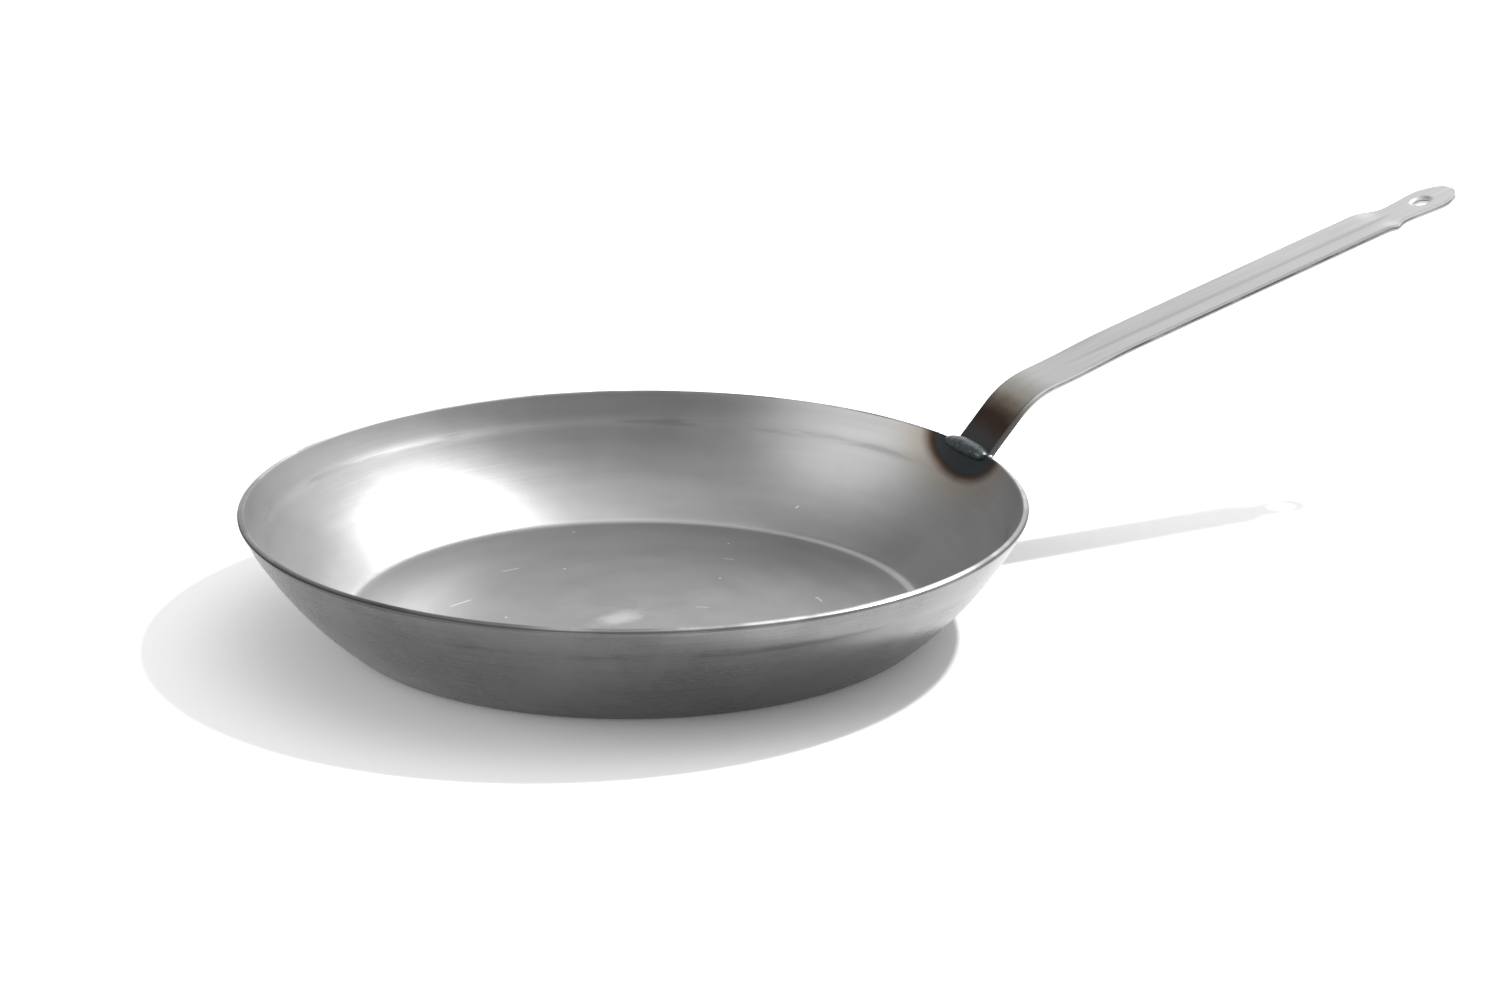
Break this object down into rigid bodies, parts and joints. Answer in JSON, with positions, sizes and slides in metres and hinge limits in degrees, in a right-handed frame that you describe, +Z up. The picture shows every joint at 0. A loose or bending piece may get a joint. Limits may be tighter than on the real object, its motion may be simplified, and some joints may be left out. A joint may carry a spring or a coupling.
{
  "type": "frying pan",
  "caption": "Round pressed carbon-steel frying pan with a bowed flaring wall and a long bent strip handle welded to the rim, with a hanging hole.",
  "frame": {"origin": "middle of the flat base, on the surface that the pan stands on", "axes": "+X from the pan towards the end of the handle, +Z up"},
  "size_m": [0.4965, 0.28, 0.118],
  "materials": {
    "pan_steel": "bare pressed carbon steel with faint circular finishing marks, satin",
    "strip_steel": "bare strip steel, satin, with heat tint beside the weld",
    "weld_metal": "rippled weld metal, blue-grey oxide"
  },
  "bodies": {
    "root": {"pan_body": "pan_steel", "handle_strip": "strip_steel", "rim_weld": "weld_metal", "toe_weld": "weld_metal"}
  },
  "joints": []
}
